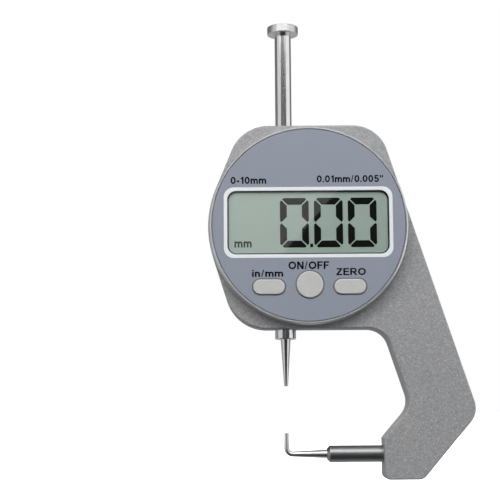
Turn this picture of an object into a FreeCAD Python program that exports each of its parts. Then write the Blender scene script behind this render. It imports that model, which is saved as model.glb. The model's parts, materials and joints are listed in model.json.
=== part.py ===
import FreeCAD, Part
import math
import os
import re

import Sketcher

# Digital thickness gauge: a flat C-frame, a round digital dial, a sprung needle spindle and a fixed
# hooked anvil. Millimetres. The origin is the tip of the anvil on the spindle axis. X runs to the
# right along the face, Y runs from the face to the back and Z runs up along the spindle.

DIMENSIONS = [
    # frame casting
    ("frame_thick", 10.5, "thickness of the casting along Y"),
    ("frame_top", 92.5, "top edge"),
    ("frame_under", 30.9, "underside that the spindle leaves"),
    ("outline_r", 30.1, "round left side, about the dial centre"),
    ("dial_x", 7.0, "dial centre, right of the spindle axis"),
    ("dial_z", 61.7, "dial centre, above the anvil tip"),
    ("top_left_x", -12.8, "sharp corner before rounding"),
    ("top_right_x", 28.6, "sharp corner before rounding"),
    ("lower_left_x", -14.8, "sharp corner before rounding"),
    ("elbow_x", 56.7, "outermost corner of the arm"),
    ("elbow_z", 5.8, "outermost corner of the arm"),
    ("heel_x", 40.1, "outer end of the jaw's underside"),
    ("jaw_face", 28.7, "face that the anvil bar leaves"),
    ("jaw_top", -1.5, "upper end of the jaw face"),
    ("jaw_bottom", -13.7, "underside of the jaw"),
    ("throat_deep_x", 37.0, "deepest corner of the throat"),
    ("throat_deep_z", 8.0, "deepest corner of the throat"),
    ("throat_root_x", 29.5, "corner between underside and arm"),
    ("top_left_round", 12.0, "corner radius"),
    ("top_right_round", 10.8, "corner radius"),
    ("lower_left_round", 12.6, "corner radius"),
    ("throat_root_round", 6.6, "corner radius"),
    ("throat_deep_round", 6.1, "corner radius"),
    ("jaw_top_round", 1.0, "corner radius"),
    ("jaw_bottom_round", 1.5, "corner radius"),
    ("heel_round", 3.0, "corner radius"),
    ("elbow_round", 6.5, "corner radius"),
    ("edge_round", 0.5, "rounding of the front and back edges"),
    ("small_bevel", 0.15, "bevel on a small turned piece"),
    ("cavity_r", 26.5, "bore that holds the works"),
    ("boss_r", 3.6, "screw bosses in the cavity"),
    ("boss_front", 3.4, "front end of the bosses, ahead of the mid-plane"),
    ("post_ring_r", 23.6, "radius of the circle of case screws"),
    ("post_angle", 38.0, "case screws above and below the horizontal"),
    ("case_hole_r", 0.85, "clearance hole for a case screw"),
    # dial, heights counted forward from the frame's mid-plane
    ("face_front", 9.45, "front of the face plate"),
    ("plate_thick", 0.8, "face plate"),
    ("plate_r", 28.75, "face plate"),
    ("bezel_base_r", 30.0, "bezel where it meets the frame"),
    ("bezel_front_r", 29.55, "bezel at its front"),
    ("bezel_inner_r", 28.9, "bore of the bezel"),
    ("bezel_bevel", 0.25, "bevel at the bezel's front edge"),
    ("housing_r", 28.85, "dial housing"),
    ("housing_inner_r", 27.85, "bore of the dial housing"),
    ("housing_wall", 0.35, "front wall of the dial housing"),
    ("spigot_r", 26.4, "spigot that centres the housing in the frame"),
    ("spigot_inner_r", 25.4, "bore of the spigot"),
    ("spigot_back", 4.7, "back end of the spigot"),
    ("spigot_step", 5.3, "step inside the housing, behind the display holder"),
    ("window_x", -0.15, "window centre from the dial centre"),
    ("window_z", 0.6, "window centre from the dial centre"),
    ("trim_w", 50.3, "window trim, outside"),
    ("trim_h", 21.2, "window trim, outside"),
    ("trim_corner", 3.0, "outer corner radius of the trim"),
    ("trim_border", 1.05, "width of the trim"),
    ("window_corner", 2.7, "inner corner radius of the trim"),
    ("trim_proud", 0.05, "trim stands ahead of the face plate"),
    ("fit_gap", 0.03, "gap all round an inlaid piece"),
    ("lens_recess", 0.2, "lens behind the face plate's front"),
    ("ledge", 0.4, "ledge that the lens rests on"),
    ("lcd_w", 48.8, "display glass"),
    ("lcd_h", 20.6, "display glass"),
    ("lcd_front", 8.25, "front of the display glass"),
    ("lcd_thick", 1.65, "display glass"),
    ("lcd_gap", 0.1, "gap round the display glass in its holder"),
    ("holder_w", 54.0, "holder, before its ends are rounded off"),
    ("holder_h", 23.4, "holder"),
    ("holder_r", 27.6, "round ends of the holder"),
    ("holder_back", 5.4, "back of the holder"),
    ("strip_w", 44.0, "rubber connector strip"),
    ("strip_h", 1.4, "rubber connector strip"),
    ("strip_z", 8.9, "connector strips above and below the window centre"),
    ("board_r", 25.0, "circuit board"),
    ("board_front", 4.6, "front of the circuit board"),
    ("board_thick", 1.0, "circuit board"),
    ("notch_r", 2.4, "notch in the board round a housing post"),
    ("post_r", 2.0, "housing post for a case screw"),
    ("pilot_r", 0.82, "bore in a housing post"),
    ("pillar_r", 1.4, "housing pillar for a board screw"),
    ("pillar_right_x", 8.0, "upper right board screw"),
    ("pillar_right_z", 21.5, "upper right board screw"),
    ("pillar_left_x", -11.5, "upper left board screw"),
    ("pillar_left_z", 21.0, "upper left board screw"),
    ("pillar_low_x", 5.2, "lower board screws"),
    ("pillar_low_z", -22.6, "lower board screws"),
    ("chip_size", 7.0, "encoder chip"),
    ("chip_thick", 1.0, "encoder chip"),
    ("chip_x", -6.0, "encoder chip from the dial centre"),
    ("chip_z", 4.0, "encoder chip from the dial centre"),
    # push buttons
    ("button_front", 10.0, "front of a cap"),
    ("button_gap", 0.25, "gap round a cap in the face"),
    ("button_round", 0.35, "rounded front edge of a cap"),
    ("button_r", 4.0, "round cap"),
    ("button_x", 0.1, "round cap from the dial centre"),
    ("button_z", -18.0, "round cap from the dial centre"),
    ("pill_w", 9.5, "long cap"),
    ("pill_h", 4.5, "long cap"),
    ("pill_x", 12.0, "long caps left and right of the dial centre"),
    ("pill_z", -18.65, "long caps from the dial centre"),
    ("lip", 0.7, "retaining lip round a cap"),
    ("lip_front", 7.9, "front of the retaining lip"),
    ("lip_thick", 0.6, "retaining lip"),
    ("stem_r", 1.0, "stem behind a cap"),
    ("stem_back", 5.65, "back end of a stem"),
    ("dome_r", 2.2, "snap dome on the board"),
    ("dome_top_r", 1.2, "flat top of a snap dome"),
    ("dome_thick", 0.4, "snap dome"),
    # battery and back cover
    ("battery_x", 14.0, "battery from the dial centre"),
    ("battery_r", 10.0, "coin cell"),
    ("battery_cap_r", 8.9, "front pole of the coin cell"),
    ("battery_thick", 3.2, "coin cell"),
    ("battery_step", 0.35, "step between can and front pole"),
    ("battery_front", 0.3, "front of the coin cell"),
    ("cell_wall_r", 11.3, "battery holder, outside"),
    ("cell_seat_r", 10.15, "battery holder, inside"),
    ("cell_back", -2.6, "back edge of the battery holder"),
    ("cell_floor", 1.0, "floor under the coin cell"),
    ("cell_window_r", 5.0, "hole in that floor"),
    ("contact_w", 2.4, "width of a contact strip"),
    ("contact_thick", 0.25, "thickness of a contact strip"),
    ("contact_slot", 3.0, "slot in the holder wall"),
    ("contact_foot", 12.3, "outer end of the side contact's foot"),
    ("side_contact_back", -1.9, "free end of the side contact"),
    ("leaf_start", -4.2, "fixed end of the leaf contact"),
    ("leaf_bend", -1.5, "where the leaf leaves the board"),
    ("leaf_rise", 1.2, "where the leaf meets the cell"),
    ("leaf_end", 3.0, "free end of the leaf contact"),
    ("cover_thick", 1.6, "back cover"),
    ("cover_seat_r", 27.6, "rebate for the back cover"),
    ("cover_r", 27.45, "back cover"),
    ("door_flange_r", 12.6, "battery door, outer flange"),
    ("door_flange", 0.6, "thickness of the flange"),
    ("door_neck_r", 10.7, "battery door, neck"),
    ("door_clear", 0.08, "running clearance of the door"),
    ("door_inner", -3.05, "inner face of the battery door"),
    ("lug_root", 9.7, "inner end of a lug, inside the neck"),
    ("lug_r", 11.9, "reach of the door's lugs"),
    ("lug_w", 4.0, "width of a lug"),
    ("lug_thick", 0.5, "thickness of a lug"),
    ("lug_room", 0.2, "room round a lug in its entry notch"),
    ("door_turn", 40.0, "turn from locked to free, degrees"),
    ("coin_slot_w", 11.0, "coin slot"),
    ("coin_slot_h", 1.7, "coin slot"),
    ("coin_slot_deep", 0.9, "coin slot"),
    # fasteners
    ("case_screw_r", 0.8, "shank"),
    ("case_head_r", 1.6, "countersunk head"),
    ("case_tip", 6.5, "front end of the shank"),
    ("board_screw_r", 0.6, "shank"),
    ("board_head_r", 1.3, "pan head"),
    ("board_head", 0.7, "pan head"),
    ("board_tip", 6.6, "front end of the shank"),
    ("rail_screw_r", 0.6, "shank"),
    ("rail_head_r", 1.2, "countersunk head"),
    ("rail_tip", -1.6, "front end of the shank"),
    ("rail_screw_step", 7.2, "rail screws above and below the dial centre"),
    ("recess_w", 0.35, "arm width of a cross recess"),
    ("recess_deep", 0.5, "depth of a cross recess"),
    ("recess_share", 1.3, "recess length over head radius"),
    # spindle
    ("rod_r", 2.5, "spindle rod"),
    ("rod_bottom", 30.85, "lower end of the rod, fully raised"),
    ("knob_under", 122.0, "underside of the lift knob"),
    ("knob_top", 124.5, "top of the lift knob"),
    ("knob_r", 4.75, "lift knob"),
    ("knob_round", 0.3, "edge rounding of the lift knob"),
    ("stud_r", 1.25, "threaded studs, drawn plain"),
    ("stud_long", 5.0, "length of a stud"),
    ("stud_gap", 0.03, "gap round a stud"),
    ("stud_spare", 0.5, "hole deeper than its stud"),
    ("collar_r", 3.15, "collar of the contact point"),
    ("collar_under", 27.9, "underside of the collar"),
    ("collar_round", 0.4, "rounded lower edge of the collar"),
    ("needle_top_r", 1.5, "needle at the collar"),
    ("needle_tip_r", 0.575, "flat tip of the needle"),
    ("needle_tip", 13.95, "height of the tip, fully raised"),
    ("bush_r", 3.3, "guide bushes, outside"),
    ("bush_seat_r", 3.32, "bore for the guide bushes"),
    ("bush_bore_r", 2.54, "running bore of the bushes"),
    ("bush_inset", 0.1, "bush ends behind the frame's edge"),
    ("upper_bush_in", 86.2, "inner end of the upper bush"),
    ("lower_bush_in", 37.2, "inner end of the lower bush"),
    ("carrier_w", 9.0, "scale carrier along X"),
    ("carrier_front", 3.0, "scale carrier, ahead of the rod axis"),
    ("carrier_back", 3.2, "scale carrier, behind the rod axis"),
    ("carrier_low", 56.0, "scale carrier, lower end"),
    ("carrier_high", 76.0, "scale carrier, upper end"),
    ("carrier_bore_r", 2.51, "bore of the carrier"),
    ("scale_w", 8.0, "glass-fibre scale"),
    ("scale_thick", 0.3, "glass-fibre scale"),
    ("clamp_z", 72.5, "clamp screw of the carrier"),
    ("clamp_r", 0.9, "clamp screw"),
    ("clamp_end", 4.4, "outer end of the clamp screw"),
    ("clamp_start", 2.55, "inner end of the clamp screw"),
    ("guide_z", 69.0, "guide pin"),
    ("guide_r", 1.0, "guide pin"),
    ("guide_start", -2.6, "inner end of the guide pin"),
    ("guide_end", -7.3, "outer end of the guide pin"),
    ("bore_gap", 0.01, "gap round a pressed or clamped pin"),
    ("rail_left", -8.8, "guide rail"),
    ("rail_right", -5.2, "guide rail"),
    ("rail_front", -2.2, "guide rail, front side along Y"),
    ("rail_low", 51.2, "guide rail"),
    ("rail_high", 72.2, "guide rail"),
    ("rail_slot_left", -7.6, "bottom of the rail's slot"),
    ("rail_slot_w", 2.1, "width of the rail's slot"),
    ("spring_r", 2.95, "return spring, to the wire's centre"),
    ("wire_r", 0.25, "return spring wire"),
    ("spring_turns", 7.0, "coils of the return spring"),
    ("spring_clear", 0.06, "spring ends clear of their seats"),
    # anvil
    ("anvil_z", -6.2, "axis of the anvil bar"),
    ("anvil_r", 2.5, "anvil bar"),
    ("anvil_end", 12.0, "free end of the bar"),
    ("anvil_chamfer", 0.8, "chamfer on the free end"),
    ("anvil_inner", 40.3, "clamped end of the bar"),
    ("anvil_bore_end", 40.5, "bottom of the bore in the jaw"),
    ("anvil_bore_r", 2.52, "bore in the jaw"),
    ("hook_root_r", 1.3, "hooked pin where it leaves the bar"),
    ("hook_bend_r", 0.8, "hooked pin through the bend"),
    ("hook_tip_r", 0.6, "tip of the hooked pin"),
    ("bend_r", 1.8, "centre-line radius of the bend"),
    ("hook_shank", 4.0, "shank of the hooked pin in the bar"),
    ("anvil_screw_x", 34.5, "set screw from the jaw face's side"),
    ("anvil_screw_r", 1.0, "set screw"),
    ("anvil_screw_gap", 0.02, "gap round the set screw"),
    ("anvil_screw_low", -13.2, "outer end of the set screw"),
    ("hex_r", 0.5, "hexagon socket, to its corners"),
    ("hex_deep", 0.9, "hexagon socket"),
]

# Which way a sub-part's own +Z axis points. Front is towards -Y and right is towards +X.
FACING = {
    "up": FreeCAD.Rotation(),
    "front": FreeCAD.Rotation(FreeCAD.Vector(1, 0, 0), 90),
    "right": FreeCAD.Rotation(FreeCAD.Vector(0, 1, 0), 90),
    "down": FreeCAD.Rotation(FreeCAD.Vector(1, 0, 0), 180),
}

doc = FreeCAD.newDocument("thickness_gauge")
dims = doc.addObject("Spreadsheet::Sheet", "dims")
for row, (name, value, note) in enumerate(DIMENSIONS, start=1):
    dims.set("A%d" % row, name)
    dims.set("B%d" % row, str(value))
    dims.set("C%d" % row, note)
    dims.setAlias("B%d" % row, name)
doc.recompute()

NAMES = {name for name, value, note in DIMENSIONS}
subparts = []


# ---------------------------------------------------------------- helpers

def linked(formula):
    """A formula in cell names, as an expression that reads the sheet."""
    return re.sub(r"[a-z_]+", lambda word: "dims." * (word[0] in NAMES) + word[0], str(formula))


def number(formula):
    return float(dims.evalExpression(linked(formula)))


def bind(thing, prop, formula):
    thing.setExpression(prop, linked(formula))


def place(thing, x=0, y=0, z=0, facing="up"):
    """Put a sub-part at x, y, z and keep it tied to the sheet."""
    spot = FreeCAD.Vector(number(x), number(y), number(z))
    thing.Placement = FreeCAD.Placement(spot, FACING[facing])
    for axis, formula in zip("xyz", (x, y, z)):
        bind(thing, "Placement.Base." + axis, formula)


def keep(thing, label):
    """Name a finished sub-part. The label is also its file's name."""
    thing.Label = label
    subparts.append(thing)
    return thing


def new_body(label, x=0, y=0, z=0, facing="up"):
    body = doc.addObject("PartDesign::Body", label)
    place(body, x, y, z, facing)
    return keep(body, label)


def dial_body(label, x=0, z=0):
    """A body that faces front, centred x and z away from the dial centre."""
    return new_body(label, "dial_x + %s" % x, 0, "dial_z + %s" % z, "front")


def new_sketch(body, plane="XY_Plane", offset=0):
    """An empty sketch on one of the body's own origin planes, moved along its normal."""
    sketch = body.newObject("Sketcher::SketchObject", body.Name + "_sketch")
    support = next(item for item in body.Origin.OriginFeatures if item.Role == plane)
    sketch.AttachmentSupport = [(support, "")]
    sketch.MapMode = "FlatFace"
    bind(sketch, "AttachmentOffset.Base.z", offset)
    return sketch


def point(x, y):
    return FreeCAD.Vector(number(x), number(y), 0)


def fix_point(sketch, curve, end, x, y):
    """Hold one point of a curve at x, y from the sketch's origin."""
    for kind, formula in (("DistanceX", x), ("DistanceY", y)):
        rule = Sketcher.Constraint(kind, -1, 1, curve, end, number(formula))
        bind(sketch, "Constraints[%d]" % sketch.addConstraint(rule), formula)


def measure(sketch, kind, curve, formula):
    """Hold a radius or an angle of a curve."""
    rule = Sketcher.Constraint(kind, curve, number(formula))
    bind(sketch, "Constraints[%d]" % sketch.addConstraint(rule), formula)


def draw_polygon(sketch, corners):
    first = sketch.GeometryCount
    count = len(corners)
    for index, corner in enumerate(corners):
        following = corners[(index + 1) % count]
        sketch.addGeometry(Part.LineSegment(point(*corner), point(*following)))
    for index, corner in enumerate(corners):
        following = first + (index + 1) % count
        sketch.addConstraint(Sketcher.Constraint("Coincident", first + index, 2, following, 1))
        fix_point(sketch, first + index, 1, *corner)


def draw_box(sketch, low_x, low_y, high_x, high_y):
    draw_polygon(sketch, [(low_x, low_y), (high_x, low_y), (high_x, high_y), (low_x, high_y)])


def draw_circle(sketch, x, y, radius):
    centre = point(x, y)
    ring = Part.Circle(centre, FreeCAD.Vector(0, 0, 1), number(radius))
    curve = sketch.addGeometry(ring)
    fix_point(sketch, curve, 3, x, y)
    measure(sketch, "Radius", curve, radius)


def draw_rounded_box(sketch, x, y, width, height, corner):
    """A rectangle centred on x, y with round corners: an arc and a line for each corner in turn."""
    half_w = number("(%s) / 2" % width)
    half_h = number("(%s) / 2" % height)
    radius = number(corner)
    centre = point(x, y)
    inner_x, inner_y = half_w - radius, half_h - radius
    first = sketch.GeometryCount
    for index, (side_x, side_y) in enumerate([(1, 1), (-1, 1), (-1, -1), (1, -1)]):
        start = index * math.pi / 2
        middle = centre + FreeCAD.Vector(side_x * inner_x, side_y * inner_y, 0)
        circle = Part.Circle(middle, FreeCAD.Vector(0, 0, 1), radius)
        sketch.addGeometry(Part.ArcOfCircle(circle, start, start + math.pi / 2))
        leave = middle + FreeCAD.Vector(-math.sin(start), math.cos(start), 0) * radius
        run = 2 * (inner_x if index % 2 == 0 else inner_y)
        ahead = FreeCAD.Vector(-math.cos(start), -math.sin(start), 0) * run
        sketch.addGeometry(Part.LineSegment(leave, leave + ahead))
    for index in range(4):
        arc, line = first + 2 * index, first + 2 * index + 1
        following = first + (2 * index + 2) % 8
        sketch.addConstraint(Sketcher.Constraint("Tangent", arc, 2, line, 1))
        sketch.addConstraint(Sketcher.Constraint("Tangent", line, 2, following, 1))
        level = "Horizontal" if index % 2 == 0 else "Vertical"
        sketch.addConstraint(Sketcher.Constraint(level, line))
    for arc in (first + 2, first + 4, first + 6):
        sketch.addConstraint(Sketcher.Constraint("Equal", first, arc))
    measure(sketch, "Radius", first, corner)
    reach_x = "(%s) / 2 - (%s)" % (width, corner)
    reach_y = "(%s) / 2 - (%s)" % (height, corner)
    fix_point(sketch, first, 3, "(%s) + %s" % (x, reach_x), "(%s) + %s" % (y, reach_y))
    fix_point(sketch, first + 4, 3, "(%s) - (%s)" % (x, reach_x), "(%s) - (%s)" % (y, reach_y))


def draw_slot(sketch, x, y, width, height):
    """A long hole with half-round ends, centred on x, y."""
    radius = number("(%s) / 2" % height)
    reach = "((%s) - (%s)) / 2" % (width, height)
    ends = [("(%s) + %s" % (x, reach), -math.pi / 2), ("(%s) - %s" % (x, reach), math.pi / 2)]
    first = sketch.GeometryCount
    for end_x, start in ends:
        circle = Part.Circle(point(end_x, y), FreeCAD.Vector(0, 0, 1), radius)
        sketch.addGeometry(Part.ArcOfCircle(circle, start, start + math.pi))
    for side in (1, -1):
        lift = FreeCAD.Vector(0, side * radius, 0)
        right, left = point(ends[0][0], y) + lift, point(ends[1][0], y) + lift
        line = (right, left) if side > 0 else (left, right)
        sketch.addGeometry(Part.LineSegment(*line))
    order = [first, first + 2, first + 1, first + 3]
    for index, curve in enumerate(order):
        sketch.addConstraint(Sketcher.Constraint("Tangent", curve, 2, order[(index + 1) % 4], 1))
    measure(sketch, "Radius", first, "(%s) / 2" % height)
    fix_point(sketch, first, 3, ends[0][0], y)
    fix_point(sketch, first + 1, 3, ends[1][0], y)


def pad(body, sketch, length, symmetric=False):
    feature = body.newObject("PartDesign::Pad", body.Name + "_pad")
    feature.Profile = sketch
    feature.SideType = "Symmetric" if symmetric else "One side"
    bind(feature, "Length", length)
    doc.recompute()
    return feature


def pocket(body, sketch, depth=None, reverse=False, symmetric=False):
    """Cut against the sketch's normal, or along it if reversed. No depth cuts right through."""
    before = body.Shape.Volume
    feature = body.newObject("PartDesign::Pocket", body.Name + "_pocket")
    feature.Profile = sketch
    feature.SideType = "Symmetric" if symmetric else "One side"
    feature.Reversed = reverse
    if depth is None:
        feature.Type = "ThroughAll"
    else:
        feature.Type = "Length"
        bind(feature, "Length", depth)
    doc.recompute()
    if body.Shape.Volume > before - 0.001:
        raise RuntimeError("%s: a pocket removed nothing" % body.Label)
    return feature


def revolve(body, sketch, axis="V_Axis", angle=360):
    feature = body.newObject("PartDesign::Revolution", body.Name + "_revolution")
    feature.Profile = sketch
    feature.ReferenceAxis = (sketch, [axis])
    feature.Angle = angle
    doc.recompute()
    return feature


def turned(body, profile):
    """A solid turned about the body's own Z axis. The profile is (radius, height) pairs."""
    sketch = new_sketch(body, "XZ_Plane")
    draw_polygon(sketch, profile)
    return revolve(body, sketch)


def dress(body, feature, names, size, kind="Fillet"):
    """Round or bevel the named edges, or all edges of the named faces, of a feature."""
    edge_work = body.newObject("PartDesign::" + kind, body.Name + "_" + kind.lower())
    edge_work.Base = (feature, names)
    bind(edge_work, "Radius" if kind == "Fillet" else "Size", size)
    doc.recompute()
    return edge_work


def upright_edge(feature, x, y):
    """The straight edge along the body's Z axis that passes through x, y."""
    target = point(x, y)
    for index, edge in enumerate(feature.Shape.Edges, start=1):
        ends = [vertex.Point for vertex in edge.Vertexes]
        if len(ends) == 2 and all(math.hypot(e.x - target.x, e.y - target.y) < 0.001 for e in ends):
            return "Edge%d" % index
    raise RuntimeError("no edge at %s, %s" % (x, y))


def flat_face(feature, height):
    """The level face of a feature at a height along the body's Z axis."""
    for index, face in enumerate(feature.Shape.Faces, start=1):
        box = face.BoundBox
        if box.ZLength < 0.001 and abs(box.ZMin - number(height)) < 0.001:
            return "Face%d" % index
    raise RuntimeError("no face at height %s" % height)


def circle_edges(feature, radius, height):
    """Full circles of one radius at one height about the body's Z axis."""
    found = []
    for index, edge in enumerate(feature.Shape.Edges, start=1):
        round_edge = edge.Curve.TypeId == "Part::GeomCircle"
        if round_edge and abs(edge.Curve.Radius - number(radius)) < 0.001:
            if abs(edge.Curve.Center.z - number(height)) < 0.001:
                found.append("Edge%d" % index)
    if not found:
        raise RuntimeError("no round edge of %s at %s" % (radius, height))
    return found


def cylinder(radius, height, x=0, y=0, z=0, facing="up"):
    """A Part cylinder that starts at x, y, z and runs the way it faces."""
    rod = doc.addObject("Part::Cylinder", "cylinder")
    bind(rod, "Radius", radius)
    bind(rod, "Height", height)
    place(rod, x, y, z, facing)
    return rod


def cone(low_r, high_r, height, x, y, z):
    spike = doc.addObject("Part::Cone", "cone")
    bind(spike, "Radius1", low_r)
    bind(spike, "Radius2", high_r)
    bind(spike, "Height", height)
    place(spike, x, y, z)
    return spike


def block(low, size):
    """A Part box from its lowest corner and its three sizes."""
    box = doc.addObject("Part::Box", "block")
    for prop, formula in zip(("Length", "Width", "Height"), size):
        bind(box, prop, formula)
    place(box, *low)
    return box


def fuse(pieces):
    joined = doc.addObject("Part::MultiFuse", "fusion")
    joined.Shapes = pieces
    return joined


def cut(base, tool):
    trimmed = doc.addObject("Part::Cut", "cut")
    trimmed.Base = base
    trimmed.Tool = tool
    return trimmed


def group(pieces):
    """Separate solids that share one node."""
    bundle = doc.addObject("Part::Compound", "bundle")
    bundle.Links = pieces
    return bundle


def four_posts():
    """Centres of the four case screws, from the dial centre."""
    across = "post_ring_r * cos(post_angle)"
    up = "post_ring_r * sin(post_angle)"
    for side_x in ("", "-"):
        for side_z in ("", "-"):
            yield side_x + across, side_z + up


def two_rail_screws():
    """Centres of the guide rail's screws, from the dial centre."""
    for side in ("-", ""):
        yield "(rail_left + rail_right) / 2 - dial_x", side + "rail_screw_step"


def four_pillars():
    """Centres of the four board screws, from the dial centre."""
    yield "pillar_right_x", "pillar_right_z"
    yield "pillar_left_x", "pillar_left_z"
    yield "pillar_low_x", "pillar_low_z"
    yield "-pillar_low_x", "pillar_low_z"


# ---------------------------------------------------------------- frame

def make_frame():
    """The casting: rounded outline, cavity for the works, bosses, and bores for bushes and anvil."""
    body = new_body("frame", facing="front")
    feature = pad(body, frame_outline(body), "frame_thick", symmetric=True)
    feature = round_frame_corners(body, feature)
    faces = [flat_face(feature, "frame_thick / 2"), flat_face(feature, "-frame_thick / 2")]
    dress(body, feature, faces, "edge_round")
    cut_frame_cavity(body)
    cut_frame_bores(body)


def frame_outline(body):
    """Straight runs between sharp corners, with one arc about the dial centre on the left."""
    sketch = new_sketch(body)
    corners = [
        ("lower_left_x", "frame_under"),
        ("throat_root_x", "frame_under"),
        ("throat_deep_x", "throat_deep_z"),
        ("jaw_face", "jaw_top"),
        ("jaw_face", "jaw_bottom"),
        ("heel_x", "jaw_bottom"),
        ("elbow_x", "elbow_z"),
        ("top_right_x", "frame_top"),
        ("top_left_x", "frame_top"),
    ]
    for start, end in zip(corners, corners[1:]):
        sketch.addGeometry(Part.LineSegment(point(*start), point(*end)))
    centre = point("dial_x", "dial_z")
    radius = number("outline_r")
    upper_angle = tangent_angle(centre, radius, point(*corners[-1]), -1)
    lower_angle = tangent_angle(centre, radius, point(*corners[0]), 1)
    circle = Part.Circle(centre, FreeCAD.Vector(0, 0, 1), radius)
    arc = sketch.addGeometry(Part.ArcOfCircle(circle, upper_angle, lower_angle))
    side = sketch.Geometry[arc]
    upper = sketch.addGeometry(Part.LineSegment(point(*corners[-1]), side.StartPoint))
    lower = sketch.addGeometry(Part.LineSegment(side.EndPoint, point(*corners[0])))
    for index in range(len(corners) - 2):
        sketch.addConstraint(Sketcher.Constraint("Coincident", index, 2, index + 1, 1))
    last = len(corners) - 2
    sketch.addConstraint(Sketcher.Constraint("Coincident", last, 2, upper, 1))
    sketch.addConstraint(Sketcher.Constraint("Coincident", lower, 2, 0, 1))
    sketch.addConstraint(Sketcher.Constraint("Tangent", upper, 2, arc, 1))
    sketch.addConstraint(Sketcher.Constraint("Tangent", arc, 2, lower, 1))
    for index, corner in enumerate(corners[:-1]):
        fix_point(sketch, index, 1, *corner)
    fix_point(sketch, last, 2, *corners[-1])
    fix_point(sketch, arc, 3, "dial_x", "dial_z")
    measure(sketch, "Radius", arc, "outline_r")
    return sketch


def tangent_angle(centre, radius, corner, turn):
    """Where a line from a corner touches a circle, as an angle about the circle's centre."""
    away = corner - centre
    spread = math.acos(radius / away.Length)
    return (math.atan2(away.y, away.x) - turn * spread) % (2 * math.pi)


def round_frame_corners(body, feature):
    rounds = [
        ("top_left_x", "frame_top", "top_left_round"),
        ("top_right_x", "frame_top", "top_right_round"),
        ("lower_left_x", "frame_under", "lower_left_round"),
        ("throat_root_x", "frame_under", "throat_root_round"),
        ("throat_deep_x", "throat_deep_z", "throat_deep_round"),
        ("jaw_face", "jaw_top", "jaw_top_round"),
        ("jaw_face", "jaw_bottom", "jaw_bottom_round"),
        ("heel_x", "jaw_bottom", "heel_round"),
        ("elbow_x", "elbow_z", "elbow_round"),
    ]
    for x, z, radius in rounds:
        feature = dress(body, feature, [upright_edge(feature, x, z)], radius)
    return feature


def cut_frame_cavity(body):
    """The round bore, the rebate for the back cover, and four bosses for the case screws."""
    bore = new_sketch(body, offset="frame_thick / 2")
    draw_circle(bore, "dial_x", "dial_z", "cavity_r")
    pocket(body, bore)
    bosses = new_sketch(body, offset="cover_thick - frame_thick / 2")
    for x, z in four_posts():
        draw_circle(bosses, "dial_x + " + x, "dial_z + " + z, "boss_r")
    pad(body, bosses, "boss_front + frame_thick / 2 - cover_thick")
    rebate = new_sketch(body, offset="cover_thick - frame_thick / 2")
    draw_circle(rebate, "dial_x", "dial_z", "cover_seat_r")
    pocket(body, rebate, "cover_thick")
    holes = new_sketch(body, offset="frame_thick / 2")
    for x, z in four_posts():
        draw_circle(holes, "dial_x + " + x, "dial_z + " + z, "case_hole_r")
    pocket(body, holes)


def cut_frame_bores(body):
    """Seats for the two bushes, the anvil bar's bore, and the hole for its set screw."""
    bushes = new_sketch(body, "XZ_Plane")
    draw_circle(bushes, 0, 0, "bush_seat_r")
    pocket(body, bushes, symmetric=True)
    anvil = new_sketch(body, "YZ_Plane", "anvil_bore_end")
    draw_circle(anvil, "anvil_z", 0, "anvil_bore_r")
    pocket(body, anvil)
    screw = new_sketch(body, "XZ_Plane", "-anvil_z")
    draw_circle(screw, "anvil_screw_x", 0, "anvil_screw_r + anvil_screw_gap")
    pocket(body, screw, reverse=True)


# ---------------------------------------------------------------- dial

def make_bezel_ring():
    """Plain metal ring round the dial, a little narrower at the front."""
    turned(dial_body("bezel_ring"), [
        ("bezel_inner_r", "frame_thick / 2"),
        ("bezel_base_r", "frame_thick / 2"),
        ("bezel_front_r", "face_front - bezel_bevel"),
        ("bezel_front_r - bezel_bevel", "face_front"),
        ("bezel_inner_r + bezel_bevel / 2", "face_front"),
        ("bezel_inner_r", "face_front - bezel_bevel"),
    ])


def draw_button_holes(sketch, gap):
    draw_circle(sketch, "button_x", "button_z", "button_r + " + gap)
    for side in ("-", ""):
        draw_slot(sketch, side + "pill_x", "pill_z", "pill_w + 2 * " + gap, "pill_h + 2 * " + gap)


def make_dial_housing():
    """Black cup behind the face plate, with posts for the case screws and pillars for the board."""
    body = dial_body("dial_housing")
    front = "face_front - plate_thick"
    turned(body, [
        ("spigot_inner_r", "spigot_back"),
        ("spigot_r", "spigot_back"),
        ("spigot_r", "frame_thick / 2"),
        ("housing_r", "frame_thick / 2"),
        ("housing_r", front),
        (0, front),
        (0, front + " - housing_wall"),
        ("housing_inner_r", front + " - housing_wall"),
        ("housing_inner_r", "spigot_step"),
        ("spigot_inner_r", "spigot_step"),
    ])
    window = new_sketch(body, offset=front)
    draw_rounded_box(window, "window_x", "window_z", "trim_w - 2 * trim_border - 2 * ledge",
                     "trim_h - 2 * trim_border - 2 * ledge", "window_corner - ledge")
    draw_button_holes(window, "button_gap")
    pocket(body, window, "housing_wall")
    posts = new_sketch(body, offset="boss_front")
    for x, z in four_posts():
        draw_circle(posts, x, z, "post_r")
        draw_circle(posts, x, z, "pilot_r")
    pad(body, posts, front + " - housing_wall - boss_front")
    pillars = new_sketch(body, offset="board_front")
    for x, z in four_pillars():
        draw_circle(pillars, x, z, "pillar_r")
        draw_circle(pillars, x, z, "board_screw_r + bore_gap")
    pad(body, pillars, front + " - housing_wall - board_front")


def make_face_plate():
    body = dial_body("face_plate")
    sketch = new_sketch(body, offset="face_front - plate_thick")
    draw_circle(sketch, 0, 0, "plate_r")
    draw_rounded_box(sketch, "window_x", "window_z", "trim_w + 2 * fit_gap", "trim_h + 2 * fit_gap",
                     "trim_corner + fit_gap")
    draw_button_holes(sketch, "button_gap")
    pad(body, sketch, "plate_thick")


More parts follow.
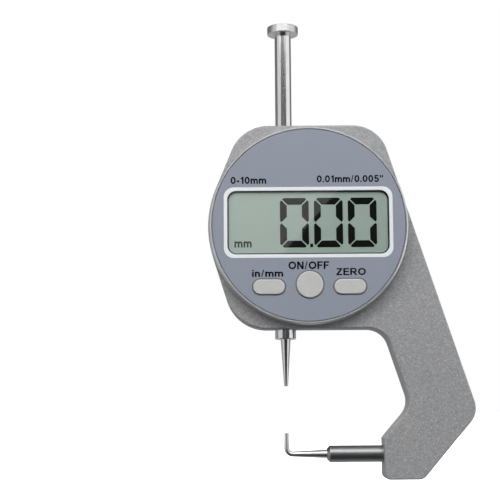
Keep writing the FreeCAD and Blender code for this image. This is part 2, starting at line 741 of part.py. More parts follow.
def make_window_trim():
    body = dial_body("window_trim")
    sketch = new_sketch(body, offset="face_front - plate_thick")
    draw_rounded_box(sketch, "window_x", "window_z", "trim_w", "trim_h", "trim_corner")
    draw_rounded_box(sketch, "window_x", "window_z", "trim_w - 2 * trim_border",
                     "trim_h - 2 * trim_border", "window_corner")
    pad(body, sketch, "plate_thick + trim_proud")


def make_window_lens():
    body = dial_body("window_lens")
    sketch = new_sketch(body, offset="face_front - plate_thick")
    draw_rounded_box(sketch, "window_x", "window_z", "trim_w - 2 * trim_border - 2 * fit_gap",
                     "trim_h - 2 * trim_border - 2 * fit_gap", "window_corner - fit_gap")
    pad(body, sketch, "plate_thick - lens_recess")


def make_display():
    """Display glass, its holder and the two rubber connector strips behind it."""
    glass = dial_body("lcd_glass")
    sketch = new_sketch(glass, offset="lcd_front - lcd_thick")
    draw_box(sketch, "window_x - lcd_w / 2", "window_z - lcd_h / 2", "window_x + lcd_w / 2",
             "window_z + lcd_h / 2")
    pad(glass, sketch, "lcd_thick")

    outside = block(("window_x - holder_w / 2", "window_z - holder_h / 2", "holder_back"),
                    ("holder_w", "holder_h", "lcd_front - holder_back"))
    inside = block(("window_x - lcd_w / 2 - lcd_gap", "window_z - lcd_h / 2 - lcd_gap", "holder_back"),
                   ("lcd_w + 2 * lcd_gap", "lcd_h + 2 * lcd_gap", "lcd_front - holder_back"))
    ends = cylinder("holder_r", "lcd_front - holder_back", z="holder_back")
    rounded = doc.addObject("Part::MultiCommon", "common")
    rounded.Shapes = [outside, ends]
    place_on_dial(keep(cut(rounded, inside), "lcd_holder"))

    strips = []
    for side in "-+":
        low = ("window_x - strip_w / 2", "window_z %s strip_z - strip_h / 2" % side, "board_front")
        strips.append(block(low, ("strip_w", "strip_h", "lcd_front - lcd_thick - board_front")))
    place_on_dial(keep(group(strips), "zebra_strips"))


def place_on_dial(thing):
    place(thing, "dial_x", 0, "dial_z", "front")


def make_main_board():
    """Round circuit board, notched round the housing posts, with its encoder chip and snap domes."""
    body = dial_body("main_board")
    sketch = new_sketch(body, offset="board_front - board_thick")
    draw_circle(sketch, 0, 0, "board_r")
    pad(body, sketch, "board_thick")
    notches = new_sketch(body, offset="board_front")
    for x, z in four_posts():
        draw_circle(notches, x, z, "notch_r")
    for x, z in four_pillars():
        draw_circle(notches, x, z, "board_screw_r + button_gap / 2")
    pocket(body, notches)

    chip = block((0, 0, 0), ("chip_size", "chip_size", "chip_thick"))
    place(chip, "dial_x + chip_x - chip_size / 2", "-board_front", "dial_z + chip_z - chip_size / 2",
          "front")
    keep(chip, "encoder_chip")

    spots = [("button_x", "button_z"), ("-pill_x", "pill_z"), ("pill_x", "pill_z")]
    domes = [cone("dome_r", "dome_top_r", "dome_thick", x, z, "board_front") for x, z in spots]
    place_on_dial(keep(group(domes), "button_domes"))


def make_button(label, x, z, draw_cap):
    """A cap with a retaining lip behind the housing wall and a stem that reaches its dome."""
    body = dial_body(label, x, z)
    stem = new_sketch(body, offset="stem_back")
    draw_circle(stem, 0, 0, "stem_r")
    pad(body, stem, "lip_front - lip_thick - stem_back")
    lip = new_sketch(body, offset="lip_front - lip_thick")
    draw_cap(lip, "lip")
    pad(body, lip, "lip_thick")
    cap = new_sketch(body, offset="lip_front")
    draw_cap(cap, "0")
    feature = pad(body, cap, "button_front - lip_front")
    dress(body, feature, [flat_face(feature, "button_front")], "button_round")


def draw_round_cap(sketch, grow):
    draw_circle(sketch, 0, 0, "button_r + " + grow)


def draw_pill_cap(sketch, grow):
    draw_slot(sketch, 0, 0, "pill_w + 2 * " + grow, "pill_h + 2 * " + grow)


# ---------------------------------------------------------------- back: battery, cover, screws

def make_battery():
    """A coin cell, its holder on the back of the board, and its two contacts."""
    cell = dial_body("battery", "battery_x")
    back = "battery_front - battery_thick"
    turned(cell, [
        (0, back),
        ("battery_r", back),
        ("battery_r", "battery_front - battery_step"),
        ("battery_cap_r", "battery_front - battery_step"),
        ("battery_cap_r", "battery_front"),
        (0, "battery_front"),
    ])

    holder = dial_body("battery_holder", "battery_x")
    board_back = "board_front - board_thick"
    turned(holder, [
        ("cell_seat_r", "cell_back"),
        ("cell_wall_r", "cell_back"),
        ("cell_wall_r", board_back),
        ("cell_seat_r", board_back),
        ("cell_seat_r", "battery_front + cell_floor"),
        ("cell_window_r", "battery_front + cell_floor"),
        ("cell_window_r", "battery_front"),
        ("cell_seat_r", "battery_front"),
    ])
    slot = new_sketch(holder, offset=board_back)
    draw_box(slot, "-contact_slot / 2", "battery_r", "contact_slot / 2", "contact_foot")
    pocket(holder, slot, board_back + " - cell_back")

    plus = dial_body("battery_contact_plus", "battery_x")
    side = new_sketch(plus, "YZ_Plane")
    bottom = "battery_r + fit_gap"
    draw_polygon(side, [
        (bottom, "side_contact_back"),
        (bottom + " + contact_thick", "side_contact_back"),
        (bottom + " + contact_thick", board_back + " - contact_thick"),
        ("contact_foot", board_back + " - contact_thick"),
        ("contact_foot", board_back),
        (bottom, board_back),
    ])
    pad(plus, side, "contact_w", symmetric=True)

    minus = dial_body("battery_contact_minus", "battery_x")
    leaf = new_sketch(minus, "YZ_Plane")
    touch = "battery_front + fit_gap"
    draw_polygon(leaf, [
        ("leaf_start", board_back),
        ("leaf_start", board_back + " - contact_thick"),
        ("leaf_bend", board_back + " - contact_thick"),
        ("leaf_rise", touch),
        ("leaf_end", touch),
        ("leaf_end", touch + " + contact_thick"),
        ("leaf_rise + contact_thick / 2", touch + " + contact_thick"),
        ("leaf_bend + contact_thick / 2", board_back),
    ])
    pad(minus, leaf, "contact_w", symmetric=True)


def make_back_cover():
    """Round plate let into the back, with the battery door's recess, bore and entry notches."""
    body = dial_body("back_cover")
    outer_face = "-frame_thick / 2"
    disc = new_sketch(body, offset=outer_face)
    draw_circle(disc, 0, 0, "cover_r")
    pad(body, disc, "cover_thick")
    recess = new_sketch(body, offset=outer_face)
    draw_circle(recess, "battery_x", 0, "door_flange_r + door_clear")
    pocket(body, recess, "door_flange", reverse=True)
    bore = new_sketch(body, offset=outer_face)
    draw_circle(bore, "battery_x", 0, "door_neck_r + door_clear")
    pocket(body, bore, reverse=True)
    for turn in ("-door_turn", "180 - door_turn"):
        notch = new_sketch(body, offset=outer_face)
        draw_polygon(notch, lug_corners(turn, "lug_room"))
        pocket(body, notch, reverse=True)
    for x, z in four_posts():
        sink_screw(body, x, z, "case_head_r", "case_hole_r")
    for x, z in two_rail_screws():
        sink_screw(body, x, z, "rail_head_r", "rail_screw_r + fit_gap")


def lug_corners(turn, room):
    """A radial rectangle from inside the door's neck to the lug radius, turned about the battery."""
    corners = []
    for along, across in (("lug_root", "-"), ("lug_r + " + room, "-"), ("lug_r + " + room, ""),
                          ("lug_root", "")):
        side = "%s(lug_w / 2 + %s)" % (across, room)
        x = "battery_x + (%s) * cos(%s) - (%s) * sin(%s)" % (along, turn, side, turn)
        y = "(%s) * sin(%s) + (%s) * cos(%s)" % (along, turn, side, turn)
        corners.append((x, y))
    return corners


def sink_screw(body, x, z, head_r, hole_r):
    """A countersunk clearance hole from the back face."""
    before = body.Shape.Volume
    spot = new_sketch(body, offset="-frame_thick / 2")
    draw_circle(spot, x, z, hole_r)
    doc.recompute()
    hole = body.newObject("PartDesign::Hole", body.Name + "_hole")
    hole.Profile = spot
    hole.Reversed = True
    hole.DepthType = "ThroughAll"
    hole.Threaded = False
    bind(hole, "Diameter", "2 * (%s)" % hole_r)
    hole.HoleCutType = "Countersink"
    hole.HoleCutCustomValues = True
    bind(hole, "HoleCutDiameter", "2 * (%s) + 4 * fit_gap" % head_r)
    hole.HoleCutCountersinkAngle = 90
    doc.recompute()
    if body.Shape.Volume > before - 0.001:
        raise RuntimeError("a screw hole removed nothing")


def make_battery_door():
    """Coin-turned bayonet cap over the battery."""
    body = dial_body("battery_door", "battery_x")
    outer_face = "-frame_thick / 2"
    feature = turned(body, [
        (0, outer_face),
        ("door_flange_r", outer_face),
        ("door_flange_r", outer_face + " + door_flange - fit_gap"),
        ("door_neck_r", outer_face + " + door_flange - fit_gap"),
        ("door_neck_r", "door_inner"),
        (0, "door_inner"),
    ])
    dress(body, feature, circle_edges(feature, "door_flange_r", outer_face), "small_bevel", "Chamfer")
    lugs = new_sketch(body, offset="door_inner - lug_thick")
    for side in ("", "-"):
        near, far = sorted((side + "lug_root", side + "lug_r"), key=number)
        draw_box(lugs, near, "-lug_w / 2", far, "lug_w / 2")
    pad(body, lugs, "lug_thick")
    slot = new_sketch(body, offset=outer_face)
    draw_slot(slot, 0, 0, "coin_slot_w", "coin_slot_h")
    pocket(body, slot, "coin_slot_deep", reverse=True)


def cross_recess(x, y, low, radius):
    """Two crossed bars that cut a driver's recess from the back of a head."""
    long, wide, deep = "recess_share * %s" % radius, "recess_w", "recess_deep"
    return fuse([
        block(("%s - %s / 2" % (x, long), "%s - %s / 2" % (y, wide), low), (long, wide, deep)),
        block(("%s - %s / 2" % (x, wide), "%s - %s / 2" % (y, long), low), (wide, long, deep)),
    ])


def countersunk_screw(x, z, shank_r, head_r, tip):
    """A screw from the cover's outer face forward to its tip, drawn with a plain shank."""
    low = "-frame_thick / 2 + fit_gap"
    shank = cylinder(shank_r, "%s - (%s)" % (tip, low), x, z, low)
    head = cone(head_r, shank_r, "%s - %s" % (head_r, shank_r), x, z, low)
    return cut(fuse([shank, head]), cross_recess(x, z, low, head_r))


def pan_screw(x, z):
    """A screw that holds the board, its head on the board's back."""
    low = "board_front - board_thick - board_head"
    shank = cylinder("board_screw_r", "board_tip - (%s)" % low, x, z, low)
    head = cylinder("board_head_r", "board_head", x, z, low)
    return cut(fuse([shank, head]), cross_recess(x, z, low, "board_head_r"))


def make_screws():
    case = [countersunk_screw(x, z, "case_screw_r", "case_head_r", "case_tip")
            for x, z in four_posts()]
    place_on_dial(keep(group(case), "case_screws"))
    board = [pan_screw(x, z) for x, z in four_pillars()]
    place_on_dial(keep(group(board), "board_screws"))
    rail = [countersunk_screw(x, z, "rail_screw_r", "rail_head_r", "rail_tip")
            for x, z in two_rail_screws()]
    place_on_dial(keep(group(rail), "rail_screws"))


# ---------------------------------------------------------------- spindle and its guides

def make_spindle():
    """The rod, bored at both ends for the contact point's stud and the knob's stud."""
    body = new_body("spindle")
    turned(body, [
        (0, "rod_bottom + stud_long + stud_spare"),
        ("stud_r + stud_gap", "rod_bottom + stud_long + stud_spare"),
        ("stud_r + stud_gap", "rod_bottom"),
        ("rod_r", "rod_bottom"),
        ("rod_r", "knob_under"),
        ("stud_r + stud_gap", "knob_under"),
        ("stud_r + stud_gap", "knob_under - stud_long - stud_spare"),
        (0, "knob_under - stud_long - stud_spare"),
    ])


def make_lift_knob():
    body = new_body("lift_knob")
    feature = turned(body, [
        (0, "knob_under - stud_long"),
        ("stud_r", "knob_under - stud_long"),
        ("stud_r", "knob_under"),
        ("knob_r", "knob_under"),
        ("knob_r", "knob_top"),
        (0, "knob_top"),
    ])
    edges = circle_edges(feature, "knob_r", "knob_under") + circle_edges(feature, "knob_r", "knob_top")
    dress(body, feature, edges, "knob_round")


def make_contact_point():
    """Collar with a stud above it and a tapered needle below it."""
    body = new_body("contact_point")
    feature = turned(body, [
        (0, "needle_tip"),
        ("needle_tip_r", "needle_tip"),
        ("needle_top_r", "collar_under"),
        ("collar_r", "collar_under"),
        ("collar_r", "rod_bottom"),
        ("stud_r", "rod_bottom"),
        ("stud_r", "rod_bottom + stud_long"),
        (0, "rod_bottom + stud_long"),
    ])
    dress(body, feature, circle_edges(feature, "collar_r", "collar_under"), "collar_round")


def make_bush(label, low, high):
    turned(new_body(label), [
        ("bush_bore_r", low),
        ("bush_r", low),
        ("bush_r", high),
        ("bush_bore_r", high),
    ])


def make_carrier():
    """Block clamped on the rod. It holds the scale and the guide pin that stops the rod turning."""
    length = "carrier_high - carrier_low"
    blank = block(("-carrier_w / 2", "-carrier_front", "carrier_low"),
                  ("carrier_w", "carrier_front + carrier_back", length))
    half = "carrier_w / 2"
    holes = fuse([
        cylinder("carrier_bore_r", length, z="carrier_low"),
        cylinder("clamp_r + bore_gap", half, z="clamp_z", facing="right"),
        cylinder("guide_r + bore_gap", half, x="-" + half, z="guide_z", facing="right"),
    ])
    keep(cut(blank, holes), "scale_carrier")
    keep(block(("-scale_w / 2", "-carrier_front - scale_thick", "carrier_low"),
               ("scale_w", "scale_thick", length)), "scale_strip")

    pin = new_body("guide_pin", "guide_end", 0, "guide_z", "right")
    feature = turned_rod(pin, "guide_r", "guide_start - guide_end")
    dress(pin, feature, circle_edges(feature, "guide_r", 0), "small_bevel", "Chamfer")


def turned_rod(body, radius, length):
    return turned(body, [(0, 0), (radius, 0), (radius, length), (0, length)])


def make_set_screw(label, x, z, facing, radius, length):
    """A set screw that starts at its point, with a hexagon socket in its far end."""
    body = new_body(label, x, 0, z, facing)
    turned_rod(body, radius, length)
    socket = new_sketch(body, offset=length)
    corners = [("hex_r * cos(%d)" % angle, "hex_r * sin(%d)" % angle) for angle in range(0, 360, 60)]
    draw_polygon(socket, corners)
    pocket(body, socket, "hex_deep")


def make_guide_rail():
    """Slotted rail on the back cover, in which the guide pin runs."""
    back = "frame_thick / 2 - cover_thick"
    length = "rail_high - rail_low"
    blank = block(("rail_left", "rail_front", "rail_low"),
                  ("rail_right - rail_left", back + " - rail_front", length))
    slot = block(("rail_slot_left", "-rail_slot_w / 2", "rail_low"),
                 ("rail_right - rail_slot_left", "rail_slot_w", length))
    depth = "%s + rail_tip + fit_gap" % back
    holes = [cylinder("rail_screw_r + bore_gap", depth, "dial_x + " + x, back, "dial_z + " + z, "front")
             for x, z in two_rail_screws()]
    keep(cut(blank, fuse([slot] + holes)), "guide_rail")


def make_return_spring():
    """Compression spring round the rod, between the carrier and the upper bush."""
    body = new_body("return_spring", 0, 0, "carrier_high + spring_clear + wire_r")
    wire = new_sketch(body, "XZ_Plane")
    draw_circle(wire, "spring_r", 0, "wire_r")
    coil = body.newObject("PartDesign::AdditiveHelix", "return_spring_coil")
    coil.Profile = wire
    coil.ReferenceAxis = (wire, ["V_Axis"])
    coil.Mode = "height-turns-angle"
    bind(coil, "Height", "upper_bush_in - carrier_high - 2 * spring_clear - 2 * wire_r")
    bind(coil, "Turns", "spring_turns")
    coil.Angle = 0
    doc.recompute()


# ---------------------------------------------------------------- anvil

def make_anvil_holder():
    """Round bar clamped in the jaw, bored at its free end for the hooked pin."""
    body = new_body("anvil_holder", "anvil_end", 0, "anvil_z", "right")
    feature = turned(body, [
        (0, "hook_shank + stud_spare"),
        ("hook_root_r + bore_gap", "hook_shank + stud_spare"),
        ("hook_root_r + bore_gap", 0),
        ("anvil_r", 0),
        ("anvil_r", "anvil_inner - anvil_end"),
        (0, "anvil_inner - anvil_end"),
    ])
    dress(body, feature, circle_edges(feature, "anvil_r", 0), "anvil_chamfer", "Chamfer")


def make_anvil_pin():
    """Tapered pin bent upwards through a right angle, with a flat tip on the spindle axis."""
    body = new_body("anvil_pin")
    level = new_sketch(body, "XZ_Plane")
    draw_polygon(level, [
        ("bend_r", "anvil_z"),
        ("bend_r", "anvil_z + hook_bend_r"),
        ("anvil_end", "anvil_z + hook_root_r"),
        ("anvil_end + hook_shank", "anvil_z + hook_root_r"),
        ("anvil_end + hook_shank", "anvil_z"),
    ])
    axis = level.addGeometry(Part.LineSegment(point("bend_r", "anvil_z"), point("anvil_end", "anvil_z")))
    level.toggleConstruction(axis)
    fix_point(level, axis, 1, "bend_r", "anvil_z")
    fix_point(level, axis, 2, "anvil_end", "anvil_z")
    revolve(body, level, "Axis0")
    bend = new_sketch(body, "YZ_Plane", "bend_r")
    draw_circle(bend, 0, "anvil_z", "hook_bend_r")
    axis = bend.addGeometry(Part.LineSegment(point(-1, "anvil_z + bend_r"), point(1, "anvil_z + bend_r")))
    bend.toggleConstruction(axis)
    fix_point(bend, axis, 1, -1, "anvil_z + bend_r")
    fix_point(bend, axis, 2, 1, "anvil_z + bend_r")
    revolve(body, bend, "Axis0", 90)
    upright = new_sketch(body, "XZ_Plane")
    draw_polygon(upright, [
        (0, "anvil_z + bend_r"),
        ("hook_bend_r", "anvil_z + bend_r"),
        ("hook_tip_r", 0),
        (0, 0),
    ])
    revolve(body, upright)


# ---------------------------------------------------------------- build and write

def check_document():
    """Stop before anything is written if an object failed or a shape is not sound."""
    doc.recompute()
    for thing in doc.Objects:
        if "Invalid" in thing.State or "Error" in thing.State:
            raise RuntimeError("%s is in state %s" % (thing.Label, thing.State))
    for part in subparts:
        if part.Shape.isNull() or not part.Shape.isValid() or not part.Shape.Solids:
            raise RuntimeError("%s has no sound shape" % part.Label)


def write_parts():
    os.makedirs("parts", exist_ok=True)
    for part in subparts:
        part.Shape.exportStep("parts/%s.step" % part.Label)
        box = part.Shape.BoundBox
        print("%-22s %d solid(s) %9.2f mm3  x %7.2f %7.2f  y %6.2f %6.2f  z %7.2f %7.2f" % (
            part.Label, len(part.Shape.Solids), part.Shape.Volume, box.XMin, box.XMax, box.YMin,
            box.YMax, box.ZMin, box.ZMax))


make_frame()
make_bezel_ring()
make_dial_housing()
make_face_plate()
make_window_trim()
make_window_lens()
make_display()
make_main_board()
make_button("button_unit", "-pill_x", "pill_z", draw_pill_cap)
make_button("button_power", "button_x", "button_z", draw_round_cap)
make_button("button_zero", "pill_x", "pill_z", draw_pill_cap)
make_battery()
make_back_cover()
make_battery_door()
make_screws()
make_spindle()
make_lift_knob()
make_contact_point()
make_bush("upper_bush", "upper_bush_in", "frame_top - bush_inset")
make_bush("lower_bush", "frame_under + bush_inset", "lower_bush_in")
make_carrier()
make_set_screw("carrier_screw", "clamp_start", "clamp_z", "right", "clamp_r", "clamp_end - clamp_start")
make_guide_rail()
make_return_spring()
make_anvil_holder()
make_anvil_pin()
make_set_screw("anvil_set_screw", "anvil_screw_x", "anvil_z - anvil_r - fit_gap", "down",
               "anvil_screw_r", "anvil_z - anvil_r - fit_gap - anvil_screw_low")
check_document()
write_parts()
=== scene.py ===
"""The looks of a digital thickness gauge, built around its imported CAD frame.

Metres, Z up, the dial faces -Y. The origin is the tip of the fixed anvil pin.
"""

import json
import math

import bmesh
import bpy
from mathutils import Euler, Matrix, Vector


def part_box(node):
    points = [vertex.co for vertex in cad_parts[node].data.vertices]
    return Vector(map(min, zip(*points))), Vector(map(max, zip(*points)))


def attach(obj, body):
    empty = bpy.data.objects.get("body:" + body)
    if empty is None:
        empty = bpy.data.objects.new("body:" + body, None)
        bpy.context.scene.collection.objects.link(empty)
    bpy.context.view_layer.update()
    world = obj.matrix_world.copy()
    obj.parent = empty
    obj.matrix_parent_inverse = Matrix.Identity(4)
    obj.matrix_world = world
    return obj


MM = 0.001
ALONG_X, ALONG_Y, ALONG_Z = 0, 1, 2

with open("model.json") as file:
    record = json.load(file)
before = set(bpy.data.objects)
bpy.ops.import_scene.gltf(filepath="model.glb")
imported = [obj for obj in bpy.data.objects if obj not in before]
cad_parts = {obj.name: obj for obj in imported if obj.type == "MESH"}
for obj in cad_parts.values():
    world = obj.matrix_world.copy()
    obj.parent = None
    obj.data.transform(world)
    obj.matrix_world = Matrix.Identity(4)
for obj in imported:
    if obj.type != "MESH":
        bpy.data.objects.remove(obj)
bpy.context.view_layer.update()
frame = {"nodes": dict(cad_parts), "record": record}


# ---------------------------------------------------------------- places taken from the frame

def middle(node):
    """The centre of a CAD node's box."""
    low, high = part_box(node)
    return (low + high) / 2


DIAL = middle("bezel_ring")
SPINDLE = Vector((0, 0, 0))
PLATE_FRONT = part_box("face_plate")[0].y
LCD_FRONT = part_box("lcd_glass")[0].y
LENS_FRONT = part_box("window_lens")[0].y


# ---------------------------------------------------------------- camera

CAMERA_LENS_MM = 92.16
CAMERA_SENSOR_MM = 36.0
CAMERA_PLACE = Vector((-10.55, -386.25, 9.94)) * MM
CAMERA_PITCH_UP = math.radians(6.68)
CAMERA_ROLL = math.radians(-0.4)


def make_camera():
    """A camera in front, a centimetre higher than the anvil's tip and left of it, tilted up."""
    data = bpy.data.cameras.new("camera")
    data.lens = CAMERA_LENS_MM
    data.sensor_width = CAMERA_SENSOR_MM
    data.clip_start = 0.01
    camera = bpy.data.objects.new("camera", data)
    bpy.context.scene.collection.objects.link(camera)
    tilt = Euler((math.pi / 2 + CAMERA_PITCH_UP, 0, 0)).to_matrix()
    roll = Matrix.Rotation(CAMERA_ROLL, 3, "Z")
    camera.matrix_world = Matrix.Translation(CAMERA_PLACE) @ (tilt @ roll).to_4x4()
    bpy.context.scene.camera = camera


# ---------------------------------------------------------------- node helpers

class Shader:
    """A material with one Principled shader, and short names for the nodes that feed it."""

    def __init__(self, name, **sockets):
        self.material = bpy.data.materials.new(name)
        self.material.use_nodes = True
        self.tree = self.material.node_tree
        self.surface = self.tree.nodes["Principled BSDF"]
        self.feed(self.surface, **sockets)
        self.place = self.node("ShaderNodeTexCoord").outputs["Object"]

    def node(self, kind, **settings):
        new = self.tree.nodes.new(kind)
        for name, value in settings.items():
            setattr(new, name, value)
        return new

    def feed(self, node, **values):
        """Sets or links each named input of a node, and returns the node."""
        for name, value in values.items():
            socket = node.inputs[name.replace("_", " ")]
            if isinstance(value, bpy.types.NodeSocket):
                self.tree.links.new(value, socket)
            else:
                socket.default_value = value
        return node

    def stretched(self, sx, sy, sz, shift=(0, 0, 0)):
        """Object coordinates moved by shift, then scaled along each axis."""
        moved = self.node("ShaderNodeVectorMath", operation="SUBTRACT")
        self.tree.links.new(self.place, moved.inputs[0])
        moved.inputs[1].default_value = shift
        scaled = self.node("ShaderNodeVectorMath", operation="MULTIPLY")
        self.tree.links.new(moved.outputs[0], scaled.inputs[0])
        scaled.inputs[1].default_value = (sx, sy, sz)
        return scaled.outputs[0]

    def radius(self, centre, axis):
        """The distance from a line through centre along one axis."""
        keep = [1.0, 1.0, 1.0]
        keep[axis] = 0.0
        length = self.node("ShaderNodeVectorMath", operation="LENGTH")
        self.tree.links.new(self.stretched(*keep, shift=centre), length.inputs[0])
        return length.outputs["Value"]

    def noise(self, size_mm, detail=3.0, vector=None):
        """Noise whose blotches are about size_mm across, from 0 to 1."""
        new = self.node("ShaderNodeTexNoise")
        self.feed(new, Vector=vector or self.place, Scale=1 / (size_mm * MM), Detail=detail, Roughness=0.55)
        return new.outputs[0]

    def line_noise(self, distance, size_mm):
        """Noise along one measure only, such as a radius or a height: turned or ground lines."""
        new = self.node("ShaderNodeTexNoise", noise_dimensions="1D")
        self.feed(new, W=distance, Scale=1 / (size_mm * MM), Detail=2.0)
        return new.outputs[0]

    def cells(self, size_mm):
        """A random value for each cell of about size_mm, from 0 to 1."""
        new = self.node("ShaderNodeTexVoronoi")
        self.feed(new, Vector=self.place, Scale=1 / (size_mm * MM))
        split = self.node("ShaderNodeSeparateColor")
        self.feed(split, Color=new.outputs["Color"])
        return split.outputs[0]

    def ramp(self, value, stops):
        """A colour ramp through (position, colour) stops. A single number means a grey."""
        new = self.node("ShaderNodeValToRGB")
        elements = new.color_ramp.elements
        while len(elements) < len(stops):
            elements.new(0.5)
        for element, (position, colour) in zip(elements, stops):
            shade = (colour, colour, colour) if isinstance(colour, float) else colour
            element.position = position
            element.color = (*shade, 1)
        self.feed(new, Fac=value)
        return new.outputs["Color"]

    def span(self, value, low, high, start=0.3, end=0.7):
        """Maps start..end to low..high, clamped."""
        new = self.node("ShaderNodeMapRange")
        self.feed(new, Value=value, From_Min=start, From_Max=end, To_Min=low, To_Max=high)
        return new.outputs["Result"]

    def math(self, operation, *values):
        new = self.node("ShaderNodeMath", operation=operation)
        for socket, value in zip(new.inputs, values):
            if isinstance(value, bpy.types.NodeSocket):
                self.tree.links.new(value, socket)
            else:
                socket.default_value = value
        return new.outputs[0]

    def mix(self, share, first, second, blend="MIX"):
        """Mixes two colour sockets by a fixed share, on the Mix node's colour inputs and output."""
        new = self.node("ShaderNodeMix", data_type="RGBA", blend_type=blend)
        share_in, first_in, second_in = new.inputs[0], new.inputs[6], new.inputs[7]
        share_in.default_value = share
        self.tree.links.new(first, first_in)
        self.tree.links.new(second, second_in)
        return new.outputs[2]

    def colour(self, socket):
        self.feed(self.surface, Base_Color=socket)

    def rough(self, socket):
        self.feed(self.surface, Roughness=socket)

    def bump(self, height, depth_mm, strength=1.0):
        """Adds a bump of about depth_mm on top of any bump already there."""
        new = self.node("ShaderNodeBump")
        self.feed(new, Height=height, Distance=depth_mm * MM, Strength=strength)
        before = self.surface.inputs["Normal"]
        if before.is_linked:
            self.feed(new, Normal=before.links[0].from_socket)
        self.feed(self.surface, Normal=new.outputs["Normal"])


# ---------------------------------------------------------------- materials

def dimmed(colour, share):
    """A share of a colour's brightness."""
    return tuple(share * channel for channel in colour)


def frame_paint():
    """Silver-grey metallic paint: light and dark flakes, cloudy mottling, a slight orange peel."""
    shader = Shader("frame_paint", Metallic=0.15)
    flake = shader.cells(0.26)
    flakes = shader.ramp(flake, [(0.0, 0.255), (0.3, 0.305), (0.7, 0.335), (0.93, 0.40), (1.0, 0.48)])
    clouds = shader.ramp(shader.noise(0.9, 3.0), [(0.3, 0.92), (0.7, 1.06)])
    broad = shader.ramp(shader.noise(11.0, 2.0), [(0.3, (0.96, 0.98, 1.02)), (0.7, (1.0, 1.0, 1.01))])
    tone = shader.mix(1.0, shader.mix(1.0, flakes, clouds, "MULTIPLY"), broad, "MULTIPLY")
    shader.colour(tone)
    shader.rough(shader.span(flake, 0.34, 0.56, 0.0, 1.0))
    shader.bump(shader.noise(0.6, 2.0), 0.008)
    shader.bump(flake, 0.002)
    return shader.material


def turned_metal(name, colour, roughness, centre, axis, line_mm, lines_mm_deep, metallic=1.0):
    """Metal turned about an axis: fine rings, with roughness that varies from ring to ring."""
    shader = Shader(name, Metallic=metallic)
    rings = shader.line_noise(shader.radius(centre, axis), line_mm)
    shader.rough(shader.span(rings, roughness * 0.75, roughness * 1.35))
    shader.bump(rings, lines_mm_deep)
    smudges = shader.ramp(shader.noise(5.0), [(0.3, dimmed(colour, 0.88)), (0.7, colour)])
    shader.colour(smudges)
    return shader.material


def ground_metal(name, colour, roughness, along, line_mm=0.06, lines_mm_deep=0.00015, metallic=1.0):
    """A ground rod: fine marks across its axis, drawn out round the rod."""
    shader = Shader(name, Metallic=metallic)
    drawn_out = 0.12
    scale = [drawn_out, drawn_out, drawn_out]
    scale[along] = 1.0
    marks = shader.noise(line_mm, 2.0, vector=shader.stretched(*scale))
    shader.rough(shader.span(marks, roughness * 0.8, roughness * 1.25))
    shader.bump(marks, lines_mm_deep)
    tone = shader.ramp(shader.noise(3.0), [(0.3, dimmed(colour, 0.93)), (0.7, colour)])
    shader.colour(tone)
    return shader.material


def moulded_plastic(name, colour, roughness, grain_mm=0.12, grain_deep=0.006, contrast=0.12, gloss=0.5):
    """Moulded plastic or ink: spark-eroded grain and slightly uneven colour."""
    shader = Shader(name, Specular_IOR_Level=gloss)
    grain = shader.noise(grain_mm, 2.0)
    tone = shader.ramp(shader.noise(2.0, 4.0), [(0.3, dimmed(colour, 1 - contrast)), (0.7, colour)])
    shader.colour(tone)
    shader.rough(shader.span(grain, roughness * 0.85, min(1.0, roughness * 1.2)))
    shader.bump(grain, grain_deep)
    return shader.material


def face_panel():
    """Blue-grey printed panel with a satin, very finely grained surface."""
    shader = Shader("face_panel")
    grain = shader.noise(0.1, 2.0)
    tone = shader.ramp(shader.noise(6.0, 3.0), [(0.3, (0.233, 0.266, 0.32)), (0.7, (0.245, 0.264, 0.328))])
    shader.colour(tone)
    shader.rough(shader.span(grain, 0.36, 0.5))
    shader.bump(grain, 0.002)
    return shader.material


def display():
    """Grey-green reflective display: a faint vertical grain under a polariser."""
    shader = Shader("lcd", Metallic=0.6)
    lines = shader.noise(0.08, 1.0, vector=shader.stretched(1.0, 1.0, 0.05))
    clouds = shader.ramp(shader.noise(12.0, 1.0), [(0.3, (0.525, 0.62, 0.58)), (0.7, (0.54, 0.63, 0.595))])
    shader.colour(shader.mix(0.1, clouds, shader.ramp(lines, [(0.3, 0.3), (0.7, 0.42)])))
    shader.rough(shader.span(lines, 0.3, 0.42))
    return shader.material


def clear_lens():
    """Clear window: light passes straight through and a little is mirrored."""
    shader = Shader("clear_lens")
    tree = shader.tree
    through = shader.feed(shader.node("ShaderNodeBsdfTransparent"), Color=(0.96, 0.98, 0.965, 1))
    mirror = shader.feed(shader.node("ShaderNodeBsdfGlossy"), Color=(1, 1, 1, 1))
    shader.feed(mirror, Roughness=shader.span(shader.noise(4.0), 0.015, 0.03))
    facing = shader.node("ShaderNodeLayerWeight").outputs["Facing"]
    straight_on = 0.03
    grazing = shader.math("POWER", facing, 5.0)
    share = shader.math("MULTIPLY_ADD", grazing, 1 - straight_on, straight_on)
    blend = shader.node("ShaderNodeMixShader")
    tree.links.new(share, blend.inputs[0])
    tree.links.new(through.outputs[0], blend.inputs[1])
    tree.links.new(mirror.outputs[0], blend.inputs[2])
    tree.links.new(blend.outputs[0], tree.nodes["Material Output"].inputs["Surface"])
    tree.nodes.remove(shader.surface)
    return shader.material


def circuit_board():
    """Green solder mask over paler copper tracks."""
    shader = Shader("board")
    bricks = shader.node("ShaderNodeTexBrick")
    shader.feed(bricks, Vector=shader.place, Scale=280.0, Mortar_Size=0.06)
    shader.feed(bricks, Color1=(0.03, 0.16, 0.07, 1), Color2=(0.025, 0.13, 0.06, 1))
    shader.feed(bricks, Mortar=(0.07, 0.26, 0.1, 1))
    shader.colour(bricks.outputs["Color"])
    shader.rough(shader.span(shader.noise(0.6), 0.28, 0.45))
    shader.bump(bricks.outputs["Fac"], 0.01)
    return shader.material


